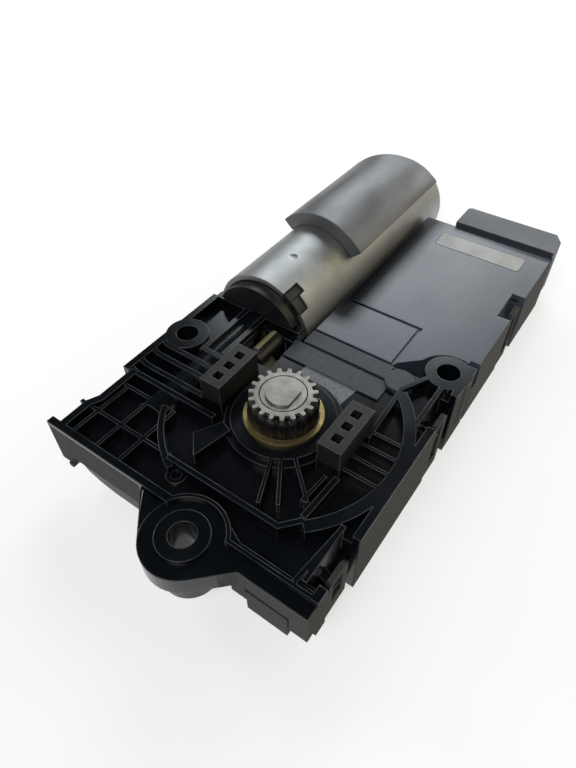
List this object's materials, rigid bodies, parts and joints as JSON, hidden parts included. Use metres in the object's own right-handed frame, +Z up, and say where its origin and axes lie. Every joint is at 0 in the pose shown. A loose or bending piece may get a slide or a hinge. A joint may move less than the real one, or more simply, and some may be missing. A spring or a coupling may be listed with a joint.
{
  "type": "sunroof motor",
  "caption": "Worm gear motor for a vehicle sunroof: a long motor in a steel can beside a flat housing, whose toothed pinion pulls two drive cables, with its own controller.",
  "frame": {"origin": "centre of the drive pinion's axis on the mounting plane (the top faces of the three bosses)", "axes": "+Z up out of the pinion, away from the housing; +Y along the motor towards the connector; +X from the motor towards the controller's outer side"},
  "size_m": [0.0797, 0.1727, 0.0366],
  "materials": {
    "housing_plastic": "glossy moulded plastic, blue-black",
    "pan_plastic": "fine-grained moulded plastic, black",
    "cover_plastic": "fine-grained moulded plastic, slate blue-grey",
    "plated_steel": "drawn and plated, satin, pale grey-green",
    "turned_steel": "ground, lightly greased",
    "stamped_steel": "stamped, satin",
    "sintered_brass": "sintered, dull",
    "copper": "enamelled copper",
    "tinned_contacts": "stamped contacts",
    "magnet": "sintered, dark grey",
    "laminations": "stacked sheet",
    "carbon": "pressed carbon",
    "spring_steel": "drawn wire",
    "gear_plastic": "natural moulded plastic, greased",
    "cream_plastic": "cream moulded plastic",
    "rubber": "moulded rubber",
    "foam": "soft closed-cell foam, dark grey",
    "label_film": "blank film, off-white",
    "board_laminate": "coated laminate",
    "black_component": "moulded case"
  },
  "bodies": {
    "housing": {"gear_housing": "housing_plastic", "bottom_pan": "pan_plastic", "controller_base": "pan_plastic", "controller_cover": "cover_plastic", "connector_shroud": "cover_plastic", "terminal_pins": "tinned_contacts", "circuit_board": "board_laminate", "relays": "black_component", "capacitor": "black_component", "control_chip": "black_component", "motor_can": "plated_steel", "magnets": "magnet", "brush_holder": "pan_plastic", "spring_left": "spring_steel", "spring_right": "spring_steel", "rear_bearing": "sintered_brass", "mid_bearing": "sintered_brass", "front_bearing": "sintered_brass", "sensor_holder": "cream_plastic", "motor_clip": "pan_plastic", "foam_pad": "foam", "label": "label_film", "output_bush": "sintered_brass", "shaft_seal": "rubber"},
    "armature": {"armature_shaft": "turned_steel", "worm": "turned_steel", "armature_core": "laminations", "windings": "copper", "commutator": "copper", "sensor_magnet": "magnet"},
    "output": {"output_shaft": "turned_steel", "worm_wheel": "gear_plastic", "damper": "rubber", "driver_plate": "stamped_steel", "circlip": "spring_steel", "drive_pinion": "turned_steel"},
    "brush_left": {"brush_left": "carbon"},
    "brush_right": {"brush_right": "carbon"}
  },
  "joints": [
    {"name": "armature_spin", "type": "hinge", "parent": "housing", "child": "armature", "pos_m": [-0.02905, 0, -0.006], "axis": [0, 1, 0], "continuous": true},
    {"name": "output_spin", "type": "hinge", "parent": "housing", "child": "output", "pos_m": [0, 0, 0], "axis": [0, 0, 1], "continuous": true},
    {"name": "brush_left_slide", "type": "slide", "parent": "housing", "child": "brush_left", "axis": [-1, 0, 0], "range_m": [0, 0.0012], "stiffness_N_per_m": 150, "springref_m": -0.002, "deforming": ["spring_left"]},
    {"name": "brush_right_slide", "type": "slide", "parent": "housing", "child": "brush_right", "axis": [1, 0, 0], "range_m": [0, 0.0012], "stiffness_N_per_m": 150, "springref_m": -0.002, "deforming": ["spring_right"]}
  ],
  "couplings": [
    {"joint": "output_spin", "follows": "armature_spin", "ratio": 0.02}
  ]
}
